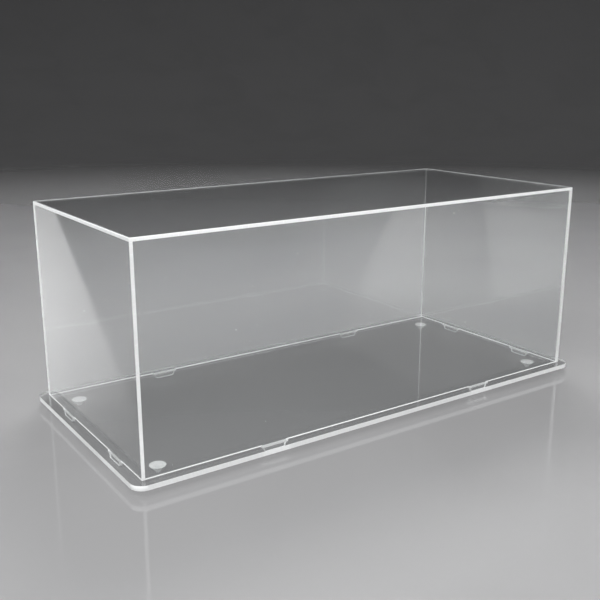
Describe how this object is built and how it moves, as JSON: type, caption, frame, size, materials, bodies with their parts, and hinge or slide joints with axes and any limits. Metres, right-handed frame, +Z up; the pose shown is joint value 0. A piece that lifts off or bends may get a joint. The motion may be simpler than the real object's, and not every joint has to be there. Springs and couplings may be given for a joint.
{
  "type": "display case",
  "caption": "Clear acrylic display case: a lift-off box cover cemented from flat panels, with tapered tabs that locate it in the slots of a rounded base plate on conical feet.",
  "frame": {"origin": "on the table under the middle of the case", "axes": "+X along the length to the right, +Y from the front to the back, +Z up"},
  "size_m": [0.358, 0.167, 0.1415],
  "materials": {
    "clear_acrylic": "clear cast acrylic sheet with polished faces and edges",
    "clear_foot": "clear moulded elastomer"
  },
  "bodies": {
    "base": {"base_plate": "clear_acrylic", "foot_front_left": "clear_foot", "foot_front_right": "clear_foot", "foot_back_left": "clear_foot", "foot_back_right": "clear_foot"},
    "cover": {"front_panel": "clear_acrylic", "back_panel": "clear_acrylic", "left_panel": "clear_acrylic", "right_panel": "clear_acrylic", "top_panel": "clear_acrylic"}
  },
  "joints": [
    {"name": "cover_lift", "type": "slide", "parent": "base", "child": "cover", "axis": [0, 0, 1], "range_m": [0, 0.16]}
  ]
}
